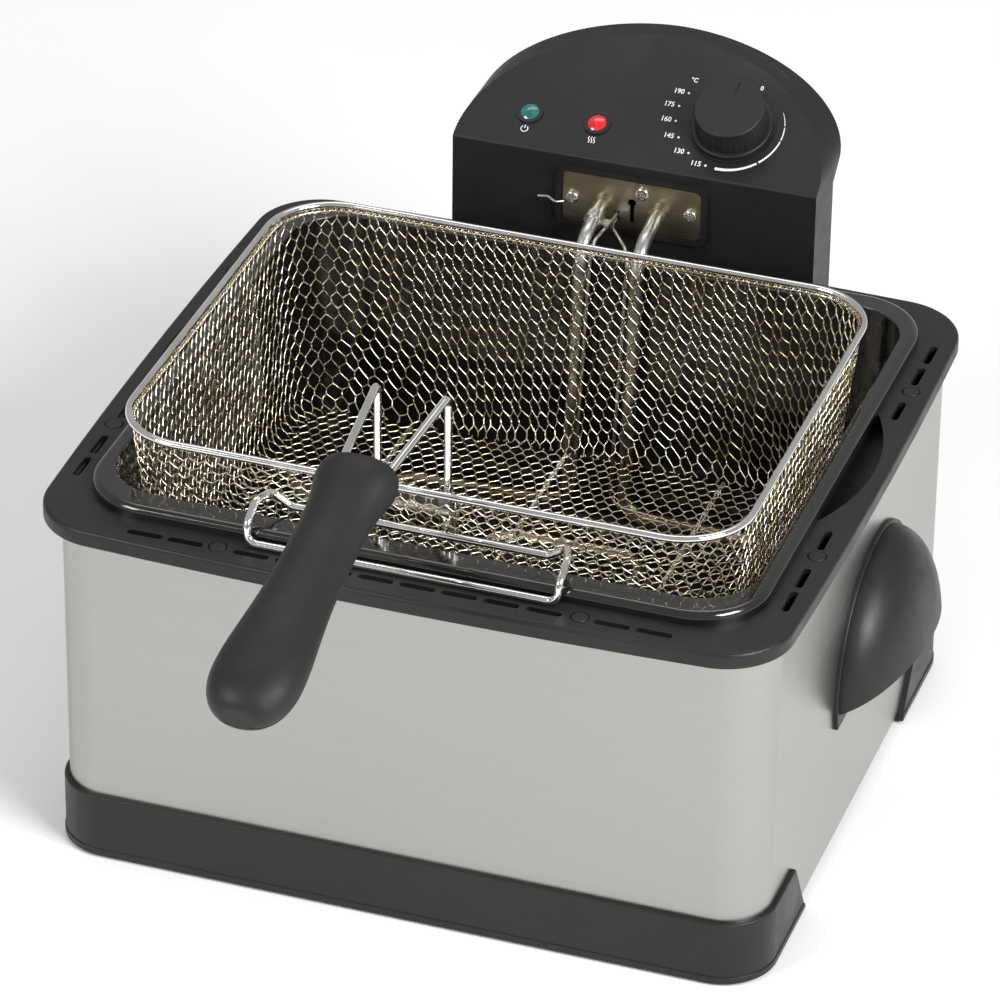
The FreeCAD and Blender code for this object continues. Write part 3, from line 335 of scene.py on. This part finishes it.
class Tubes:
    """Many short wires gathered into one mesh (coordinates in mm about the housing's centre)."""

    def __init__(self):
        self.v, self.f, self.n = [], [], 0

    def add(self, pts, radii, sides=5, closed=False, twist=0.0, oval=1.0, caps=True):
        P = np.asarray(pts, float)
        k = len(P)
        R = np.broadcast_to(np.asarray(radii, float), (k,))
        T = np.empty_like(P)
        if closed:
            T[:] = np.roll(P, -1, 0) - np.roll(P, 1, 0)
        else:
            T[1:-1] = P[2:] - P[:-2]
            T[0], T[-1] = P[1] - P[0], P[-1] - P[-2]
        T /= np.linalg.norm(T, axis=1)[:, None] + 1e-12
        ref = np.array([0.0, 0.0, 1.0]) if abs(T[0][2]) < 0.8 else np.array([1.0, 0.0, 0.0])
        if closed:
            c = P.mean(0)
            A = P - c
            A -= (A * T).sum(1)[:, None] * T
        else:
            A = np.cross(T, ref)
        A /= np.linalg.norm(A, axis=1)[:, None] + 1e-12
        B = np.cross(T, A)
        ang = 2 * np.pi * np.arange(sides) / sides
        tw = np.linspace(0, twist, k)
        for i in range(k):
            x, y = np.cos(ang) * R[i], np.sin(ang) * R[i] * oval
            c, s = math.cos(tw[i]), math.sin(tw[i])
            self.v.append(P[i] + np.outer(x * c - y * s, A[i]) + np.outer(x * s + y * c, B[i]))
        n0 = self.n
        rings = k if closed else k - 1
        for i in range(rings):
            a, b = n0 + i * sides, n0 + ((i + 1) % k) * sides
            for j in range(sides):
                j2 = (j + 1) % sides
                self.f.append((a + j, a + j2, b + j2, b + j))
        if caps and not closed:
            self.f.append(tuple(n0 + j for j in range(sides - 1, -1, -1)))
            e = n0 + (k - 1) * sides
            self.f.append(tuple(e + j for j in range(sides)))
        self.n += k * sides

    def make(self, name, mat, body, slot):
        V = np.vstack(self.v)
        V[:, 0] += BASKET_X
        V[:, 1] += YS
        return mesh_object(name, V / 1000.0, self.f, mat, body)


# ------------------------------------------------------------------ basket: twisted hexagonal wire netting
RIM_HX, RIM_YF, RIM_YR, RIM_R = 148.7, -127.8, 110.7, 33.0
BASKET_X = -2.7                # the basket hangs a little to the left in its clearance
TOP_Z, BOT_Z, TAPER, ROUND = 214.6, 112.0, 10.0, 9.0
INSET = 0.95


def outline(u, d):
    """Point, outward normal at fraction u of the way round, starting at the front's middle, going to +X; d is the inset in mm."""
    hx, y0, y1 = RIM_HX - d, RIM_YF + d, RIM_YR - d
    r = RIM_R - 0.5 * min(d, 10.0) - max(0.0, d - 10.0)
    r = max(r, 6.0)
    hx0, d0, r0 = RIM_HX, RIM_YR - RIM_YF, RIM_R
    segs = [hx0 - r0, math.pi / 2 * r0, d0 - 2 * r0, math.pi / 2 * r0, 2 * (hx0 - r0), math.pi / 2 * r0, d0 - 2 * r0, math.pi / 2 * r0, hx0 - r0]
    L = sum(segs)
    s = (u % 1.0) * L
    for k, g in enumerate(segs):
        if s <= g or k == 8:
            break
        s -= g
    t = min(1.0, s / segs[k])
    if k == 0:
        return (t * (hx - r), y0), (0, -1)
    if k == 8:
        return (-(hx - r) * (1 - t), y0), (0, -1)
    if k == 2:
        return (hx, y0 + r + t * (y1 - y0 - 2 * r)), (1, 0)
    if k == 4:
        return ((hx - r) * (1 - 2 * t), y1), (0, 1)
    if k == 6:
        return (-hx, y1 - r - t * (y1 - y0 - 2 * r)), (-1, 0)
    cx, cy, a0 = {1: (hx - r, y0 + r, -90), 3: (hx - r, y1 - r, 0), 5: (-(hx - r), y1 - r, 90), 7: (-(hx - r), y0 + r, 180)}[k]
    a = math.radians(a0 + 90 * t)
    return (cx + r * math.cos(a), cy + r * math.sin(a)), (math.cos(a), math.sin(a))


SL = math.atan2(TAPER, TOP_Z - BOT_Z)
TURN = math.pi / 2 - SL
TL = ROUND * math.tan(TURN / 2)
WALL = math.hypot(TAPER, TOP_Z - BOT_Z) - TL
ARC = ROUND * TURN
PROFILE = WALL + ARC


def profile(v):
    """inset and height at v mm down the wall, and the outward normal's (outward, up) parts"""
    if v <= WALL:
        return v * math.sin(SL), TOP_Z - v * math.cos(SL), (math.cos(SL), -math.sin(SL))
    a = (v - WALL) / ROUND
    # centre of the rounding lies inside
    d0, z0 = WALL * math.sin(SL), TOP_Z - WALL * math.cos(SL)
    cxd, cz = d0 + ROUND * math.cos(SL), z0 + ROUND * math.sin(SL)
    th = SL + a
    return cxd - ROUND * math.cos(th), cz - ROUND * math.sin(th), (math.cos(th), -math.sin(th))


def wall_point(u, v, off=0.0):
    d, z, (no, nz) = profile(max(0.0, min(PROFILE, v)))
    (x, y), (nx, ny) = outline(u, d + INSET)
    return np.array([x + nx * no * off, y + ny * no * off, z + nz * off])


SEG = 2.9
PERIM = 4 * RIM_HX + 2 * (RIM_YR - RIM_YF) - 8 * RIM_R + 2 * math.pi * RIM_R


def wob(x, y, seed, amp):
    return amp * (mnoise.noise(Vector((x, y, seed))))


# The net is drawn out differently round the basket: (mm round from the front's middle, pitch along, row offset, lean)
F0, C0, S0 = RIM_HX - RIM_R, math.pi / 2 * RIM_R, RIM_YR - RIM_YF - 2 * RIM_R
BK = F0 + 2 * C0 + S0          # where the back wall begins, at its +X end
LAY = [(0, 7.4, 0, 0), (F0 * 0.8, 7.3, 0, 0.03), (F0 + C0 / 2, 6.4, 2.0, 0.06), (F0 + C0 + 20, 5.7, 1.0, 0.05), (F0 + C0 + S0 / 2, 5.6, 0, 0), (F0 + C0 + S0 - 15, 5.6, 2.0, -0.08),
       (BK - C0 / 2, 5.4, 8.0, -0.20), (BK + 25, 5.0, 14.0, -0.34), (BK + 70, 5.3, 10.0, -0.36), (BK + F0, 6.3, 3.0, -0.26), (BK + F0 + 40, 5.3, 0, -0.32), (BK + 2 * F0 - 25, 4.9, 1.0, -0.30),
       (BK + 2 * F0 + C0 / 2, 6.0, 0, -0.04), (BK + 2 * F0 + C0 + 30, 5.8, 0, 0.05), (BK + 2 * F0 + C0 + S0 - 20, 5.7, 0, 0.04), (PERIM - F0 - C0 / 2, 6.4, 0, 0), (PERIM - F0 * 0.8, 7.3, 0, 0), (PERIM, 7.4, 0, 0)]
GS_ = np.arange(0, PERIM + 0.25, 0.5)
GS_[-1] = PERIM


def laid(k):
    g = np.interp(GS_, [q[0] for q in LAY], [q[k] for q in LAY])
    ker = np.hanning(61)
    ker /= ker.sum()
    return np.convolve(np.concatenate([g[-61:-1], g, g[1:61]]), ker, "same")[60:60 + len(GS_)]


W_S, T_S, L_S = laid(1), laid(2), laid(3)
CUM = np.concatenate([[0.0], np.cumsum((1 / W_S[1:] + 1 / W_S[:-1]) / 2 * np.diff(GS_))])
NU = int(round(CUM[-1]))
CUM *= NU / CUM[-1]
CELL, REACH = 36.5, 16.2


def at(table, s):
    return float(np.interp(s % PERIM, GS_, table))


def lat(i, j):
    """lattice place of twist i of row j: mm round, mm down, twist length and the lean there"""
    c = (i + 0.5 * (j % 2)) % NU
    s0 = float(np.interp(c, CUM, GS_))
    w = at(W_S, s0)
    q = CELL / w
    v = (j + 0.5) * q + at(T_S, s0)
    h = q - math.sqrt(max(1.2, REACH - w * w / 4))
    lean = at(L_S, s0)
    a = 2 * math.pi * s0 / PERIM
    cx, cy = math.cos(a) * 4, math.sin(a) * 4
    ds = lean * (v - 8) + wob(cx * 9, cy * 9 + v * 0.11, 7.7, 1.5) + wob(cx * 0.7, cy * 0.7, 3.1, 5.0) * max(0.0, v / PROFILE)
    dv = wob(cx * 6, cy * 6 + v * 0.07, 5.2, 1.4)
    return s0 + ds, v + dv, h, lean + wob(i * 0.35, j * 0.5, 9.0, 0.25)


wall_sets = [Tubes() for _ in range(4)]      # front, right, back, left


def part_of(u):
    u %= 1.0
    return 0 if u < 0.14 or u >= 0.86 else 1 if u < 0.36 else 2 if u < 0.64 else 3


def clipped(p, q):
    """the stretch of p-q (mm round, mm down) that lies on the wall, or None"""
    (s1, v1), (s2, v2) = p, q
    if max(v1, v2) <= 0.05 or min(v1, v2) >= PROFILE - 0.05:
        return None
    t0, t1 = 0.0, 1.0
    for lim, keep_above in ((0.0, True), (PROFILE, False)):
        d1, d2 = (v1 - lim, v2 - lim) if keep_above else (lim - v1, lim - v2)
        if d1 < 0 <= d2:
            t0 = max(t0, d1 / (d1 - d2))
        elif d2 < 0 <= d1:
            t1 = min(t1, d1 / (d1 - d2))
    if t1 - t0 < 0.08:
        return None
    f = lambda t: (s1 + (s2 - s1) * t, v1 + (v2 - v1) * t)
    return f(t0), f(t1)


def wp(s, v, off=0.0):
    return wall_point(s / PERIM, v, off)


WIRE_R = 0.37
for j in range(-6, 30):
    for i in range(NU):
        s_, v_, h_, ln = lat(i, j)
        if v_ < -9 or v_ > PROFILE + 9:
            continue
        T = wall_sets[part_of(s_ / PERIM)]
        h = h_ / 2 * (1 + wob(i * 0.9, j * 1.3, 1.0, 0.14))
        a, b = (s_ - ln * h, v_ - h), (s_ + ln * h, v_ + h)
        r = clipped(a, b)
        if r:
            (sa, va), (sb, vb) = r
            pts = [wp(sa + (sb - sa) * t, va + (vb - va) * t, 0.10 * math.sin(6.28 * t)) for t in (0, 0.25, 0.5, 0.75, 1.0)]
            T.add(pts, WIRE_R * 1.40, 5, twist=2 * math.pi * 1.25, oval=0.62, caps=False)
        for side in (-1, 1):
            i2 = (i + (0 if side > 0 else -1)) if j % 2 == 0 else (i + (1 if side > 0 else 0))
            s2, v2, h2, l2 = lat(i2 % NU, j + 1)
            if s2 - s_ > PERIM / 2:
                s2 -= PERIM
            if s_ - s2 > PERIM / 2:
                s2 += PERIM
            h2 = h2 / 2 * (1 + wob((i2 % NU) * 0.9, (j + 1) * 1.3, 1.0, 0.14))
            r = clipped((b[0], b[1] - 0.25), (s2 - l2 * h2, v2 - h2 + 0.25))
            if r:
                (sa, va), (sb, vb) = r
                T.add([wp(sa, va, 0.12 * side), wp((sa + sb) / 2, (va + vb) / 2, 0.26 * side), wp(sb, vb, -0.12 * side)], WIRE_R, 4, caps=False)

# the netting's upper hem: a wire under the rim rod with the cut ends curled round it
hem = Tubes()
n_ = 360
hem.add([(*outline(k / n_, INSET + 0.5)[0], 214.2 + wob(k * 0.21, 0, 2.0, 0.35)) for k in range(n_)], 0.48, 5, closed=True)
m_ = int(PERIM / 0.42)
coil = []
for k in range(m_):
    sk = k * PERIM / m_
    (x, y), (nx, ny) = outline(sk / PERIM, INSET + 0.5)
    an = 2 * math.pi * (sk / 3.1 + 0.9 * mnoise.noise(Vector((sk * 0.11, 0.0, 8.0))))
    rad = 0.92 + 0.30 * mnoise.noise(Vector((sk * 0.23, 3.0, 1.0)))
    coil.append((x + nx * rad * math.cos(an), y + ny * rad * math.cos(an), 214.25 + rad * 1.15 * math.sin(an)))
hem.add(coil, 0.30, 4, closed=True)
basket_pieces = [T.make(f"basket_netting_{n}", MATS["basket_wire"], "basket", "basket_wire") for T, n in zip(wall_sets, ("front", "right", "back", "left"))]
basket_pieces.append(hem.make("basket_hem", MATS["basket_wire"], "basket", "basket_wire"))

# the bottom's netting, cut off at the start of the rounding
dB, zB, _ = profile(PROFILE)


def inside(x, y):
    d = dB + INSET
    hx, y0, y1 = RIM_HX - d, RIM_YF + d, RIM_YR - d
    r = 14.0
    if not (-hx <= x <= hx and y0 <= y <= y1):
        return False
    cx, cy = max(-hx + r, min(hx - r, x)), max(y0 + r, min(y1 - r, y))
    return (x - cx) ** 2 + (y - cy) ** 2 <= r * r + 1e-6


def bz(x, y):
    return zB + 0.35 * mnoise.noise(Vector((x * 0.02, y * 0.02, 4.0)))


bottoms = [Tubes(), Tubes()]
PB, QB = 6.3, 5.45
nx_, ny_ = int(300 / PB) + 2, int(240 / QB) + 2


def blat(i, j):
    x = -150 + (i + 0.5 * (j % 2)) * PB
    y = -128 + j * QB
    return x + wob(x * 0.02, y * 0.02, 2.0, 4.0) + wob(x * 0.2, y * 0.2, 6.0, 0.6), y + wob(x * 0.02, y * 0.02, 8.0, 3.0)


def clip(p, q, steps=8):
    """the stretch of p-q that lies inside the bottom, or None"""
    a, b = inside(*p), inside(*q)
    if a and b:
        return p, q
    if not a and not b:
        return None
    if not a:
        p, q = q, p
    lo_, hi_ = 0.0, 1.0
    for _ in range(steps):
        mid_ = (lo_ + hi_) / 2
        if inside(p[0] + (q[0] - p[0]) * mid_, p[1] + (q[1] - p[1]) * mid_):
            lo_ = mid_
        else:
            hi_ = mid_
    return p, (p[0] + (q[0] - p[0]) * lo_, p[1] + (q[1] - p[1]) * lo_)


for j in range(ny_):
    for i in range(nx_):
        x, y = blat(i, j)
        T = bottoms[0 if x < 0 else 1]
        h = SEG / 2
        r = clip((x, y - h), (x, y + h))
        if r:
            (xa, ya), (xb, yb) = r
            pts = [(xa + (xb - xa) * t, ya + (yb - ya) * t, bz(xa, ya)) for t in (0, 0.33, 0.67, 1)]
            if math.hypot(xb - xa, yb - ya) > 0.3:
                T.add(pts, WIRE_R * 1.42, 5, twist=2 * math.pi, oval=0.62, caps=False)
        for side in (-1, 1):
            i2 = (i + (0 if side > 0 else -1)) if j % 2 == 0 else (i + (1 if side > 0 else 0))
            x2, y2 = blat(i2, j + 1)
            r = clip((x, y + h - 0.2), (x2, y2 - h + 0.2))
            if r and math.hypot(r[0][0] - r[1][0], r[0][1] - r[1][1]) > 0.3:
                T.add([(r[0][0], r[0][1], bz(*r[0]) + 0.12 * side), (r[1][0], r[1][1], bz(*r[1]) - 0.12 * side)], WIRE_R, 4, caps=False)
basket_pieces += [T.make(f"basket_netting_bottom_{n}", MATS["basket_wire"], "basket", "basket_wire") for T, n in zip(bottoms, ("left", "right"))]
for p in basket_pieces:
    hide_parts("basket_mesh")

# ------------------------------------------------------------------ printed marks on the control panel
PA = math.radians(62.0)
E1 = Vector((1, 0, 0))
E2 = Vector((0, math.sin(PA), math.cos(PA)))
NN = Vector((0, -math.cos(PA), math.sin(PA)))
P0 = Vector((0, 171.0, 231.3))
KX, KS = 44.5, 32.0


def panel(x, s, off=0.05):
    p = P0 + E1 * x + E2 * s + NN * off
    return Vector((p.x, p.y + YS, p.z)) / 1000.0


ink_v, ink_f = [], []


def ribbon(pts, widths, off=0.05, thick=0.05, closed=False):
    """a flat printed line along panel points (x, s) in mm"""
    n = len(pts)
    base = len(ink_v)
    for i, (x, s) in enumerate(pts):
        a = pts[max(0, i - 1)] if not closed else pts[i - 1]
        b = pts[min(n - 1, i + 1)] if not closed else pts[(i + 1) % n]
        dx, ds = b[0] - a[0], b[1] - a[1]
        L = math.hypot(dx, ds) or 1
        px, ps = -ds / L, dx / L
        w = widths[i] / 2 if hasattr(widths, "__len__") else widths / 2
        for sg, o_ in ((1, off), (-1, off), (-1, off - thick), (1, off - thick)):
            ink_v.append(panel(x + px * w * sg, s + ps * w * sg, o_))
    for i in range(n if closed else n - 1):
        a, b = base + i * 4, base + ((i + 1) % n) * 4
        for k in range(4):
            k2 = (k + 1) % 4
            ink_f.append((a + k, a + k2, b + k2, b + k))
    if not closed:
        ink_f.append((base + 3, base + 2, base + 1, base))
        e = base + (n - 1) * 4
        ink_f.append((e, e + 1, e + 2, e + 3))


def disc(x, s, r, off=0.05, n=16):
    base = len(ink_v)
    for o_ in (off, off - 0.05):
        for k in range(n):
            a = 2 * math.pi * k / n
            ink_v.append(panel(x + r * math.cos(a), s + r * math.sin(a), o_))
    ink_f.append(tuple(base + k for k in range(n)))
    ink_f.append(tuple(base + n + k for k in range(n - 1, -1, -1)))
    for k in range(n):
        k2 = (k + 1) % n
        ink_f.append((base + k, base + n + k, base + n + k2, base + k2))


def polar(r, deg):
    a = math.radians(deg)
    return KX + r * math.sin(a), KS + r * math.cos(a)


# tapered sweep on the right of the knob, in four lengths
for a0, a1 in ((60, 78), (80, 97), (99, 134.5), (137, 184)):
    m = 14
    pts = [polar(25.6, a0 + (a1 - a0) * k / m) for k in range(m + 1)]
    ws = [0.25 + 1.25 * ((a0 + (a1 - a0) * k / m) - 60) / 116 for k in range(m + 1)]
    ribbon(pts, ws)
DIAL = (("190", 17.8, 47.0), ("175", 15.2, 38.7), ("160", 16.1, 29.8), ("145", 20.2, 20.6), ("130", 27.6, 12.7), ("115", 37.8, 7.2))
for _, x, s in DIAL:
    disc(x, s, 0.62)


def arc_pts(cx, cs, r, a0, a1, m=20):
    return [(cx + r * math.sin(math.radians(a0 + (a1 - a0) * k / m)), cs + r * math.cos(math.radians(a0 + (a1 - a0) * k / m))) for k in range(m + 1)]


# signs below the lamps: on/off sign, and a rising-heat sign
gx, rx, ss = -56.1, -21.5, 10.7
ribbon(arc_pts(gx, ss, 1.75, 38, 322), 0.42)
ribbon([(gx, ss + 0.25), (gx, ss + 2.25)], 0.42)
for k in (-1, 0, 1):
    pts = [(rx + k * 1.35 + 0.42 * math.sin(t / 12 * 2 * math.pi), ss - 1.8 + 3.6 * t / 12) for t in range(13)]
    ribbon(pts, 0.40)
mesh_object("dial_print", ink_v, ink_f, INK, "control_head", smooth=False)


def text(name, body, x, s, size, align="CENTER", sx=0.9):
    cu = bpy.data.curves.new(name, "FONT")
    cu.body = body
    cu.size = size / 1000.0
    cu.align_x, cu.align_y = align, "CENTER"
    cu.extrude = 0.00003
    cu.offset = 0.00007
    cu.resolution_u = 4
    o = bpy.data.objects.new(name + "_tmp", cu)
    bpy.context.scene.collection.objects.link(o)
    m = Matrix((( *E1, 0), (*E2, 0), (*NN, 0), (0, 0, 0, 1))).transposed()
    m.translation = panel(x, s, 0.03)
    m = m @ Matrix.Diagonal((sx, 1, 1, 1))
    dg = bpy.context.evaluated_depsgraph_get()
    me = bpy.data.meshes.new_from_object(o.evaluated_get(dg))
    me.transform(m)
    bpy.data.objects.remove(o)
    me.materials.clear()
    me.materials.append(INK)
    ob = bpy.data.objects.new(name, me)
    bpy.context.scene.collection.objects.link(ob)
    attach(ob, "control_head")
    return ob


for t_, x, s in DIAL:
    text("dial_" + t_, t_, x - 5.0, s + 0.2, 4.0)
text("dial_0", "0", *polar(26.0, 18), 3.6)
text("dial_C", "°C", 18.5, 55.0, 3.6)

# ------------------------------------------------------------------ floor, light, camera
fl = bpy.data.meshes.new("floor")
S = 14.0
fl.from_pydata([(-S, -S, -0.0002), (S, -S, -0.0002), (S, S, -0.0002), (-S, S, -0.0002)], [], [(0, 1, 2, 3)])
floor = bpy.data.objects.new("floor", fl)
bpy.context.scene.collection.objects.link(floor)
fm = Mat("floor_paper")
fm.base(fm.colours(fm.noise(3.0, 3.0), [(0.3, (0.86, 0.86, 0.86)), (0.7, (0.89, 0.89, 0.885))]))
fm.rough(fm.ramp(fm.noise(40.0, 3.0), 0.85, 0.95))
fl.materials.append(fm.m)

world = bpy.data.worlds.new("soft_room")
bpy.context.scene.world = world
world.use_nodes = True
wn = world.node_tree.nodes
bgn = wn["Background"]
bgn.inputs["Color"].default_value = (1, 1, 1, 1)
bgn.inputs["Strength"].default_value = 0.42


def area(name, loc, target, size, power, sy=None):
    l = bpy.data.lights.new(name, "AREA")
    l.energy = power
    l.shape = "RECTANGLE"
    l.size, l.size_y = size, sy or size
    o = bpy.data.objects.new(name, l)
    d = Vector(target) - Vector(loc)
    o.matrix_world = Matrix.Translation(loc) @ d.to_track_quat("-Z", "Y").to_matrix().to_4x4()
    bpy.context.scene.collection.objects.link(o)
    return o


area("key_right", (2.3, -1.1, 1.9), (0.05, 0, 0.12), 1.5, 112, 1.2)
area("front_left", (-1.9, -2.3, 2.1), (0, 0, 0.12), 1.3, 52)
area("top_back", (-0.3, 1.1, 2.5), (0, 0.05, 0.15), 2.0, 12, 1.0)

cam = bpy.data.cameras.new("camera")
cam.sensor_width, cam.sensor_fit = 36.0, "HORIZONTAL"
cam.lens = 221.08
cam.clip_start, cam.clip_end = 0.05, 60
az, el, roll = math.radians(18.648), math.radians(31.514), math.radians(0.713)
back = Vector((math.sin(az) * math.cos(el), -math.cos(az) * math.cos(el), math.sin(el)))
fwd = -back
right = fwd.cross(Vector((0, 0, 1))).normalized()
up = right.cross(fwd)
r2 = right * math.cos(roll) + up * math.sin(roll)
u2 = up * math.cos(roll) - right * math.sin(roll)
co = bpy.data.objects.new("camera", cam)
mw = Matrix(((*r2, 0), (*u2, 0), (*back, 0), (0, 0, 0, 1))).transposed()
mw.translation = Vector((0.78525, -2.30177, 1.65354))
co.matrix_world = mw
bpy.context.scene.collection.objects.link(co)
bpy.context.scene.camera = co
bpy.context.scene.view_settings.view_transform = "Standard"
bpy.context.scene.view_settings.look = "None"

bpy.context.view_layer.update()
